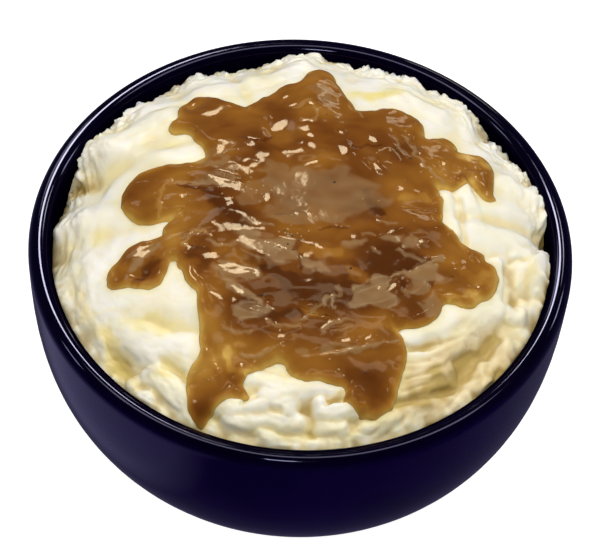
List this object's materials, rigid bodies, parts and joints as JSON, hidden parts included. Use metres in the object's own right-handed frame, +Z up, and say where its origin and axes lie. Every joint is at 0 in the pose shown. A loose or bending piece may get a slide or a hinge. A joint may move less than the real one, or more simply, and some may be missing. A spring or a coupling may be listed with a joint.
{
  "type": "mashed potato side",
  "caption": "Round dark blue glazed bowl filled with mounded mashed potato, with brown gravy poured over the top and running down in uneven lobes.",
  "frame": {"origin": "middle of the bowl's foot, on the surface it stands on", "axes": "+Z up along the bowl's axis, -Y towards the diner's side where the gravy has its two longest front runs, +X to the right of that view"},
  "size_m": [0.14, 0.14, 0.0793],
  "materials": {
    "bowl_glaze": "glossy dark navy glaze",
    "mash": "moist, soft cream mash with a faint sheen",
    "gravy": "glossy translucent brown sauce, amber where thin"
  },
  "bodies": {
    "root": {"bowl": "bowl_glaze", "mash": "mash", "gravy": "gravy"}
  },
  "joints": []
}
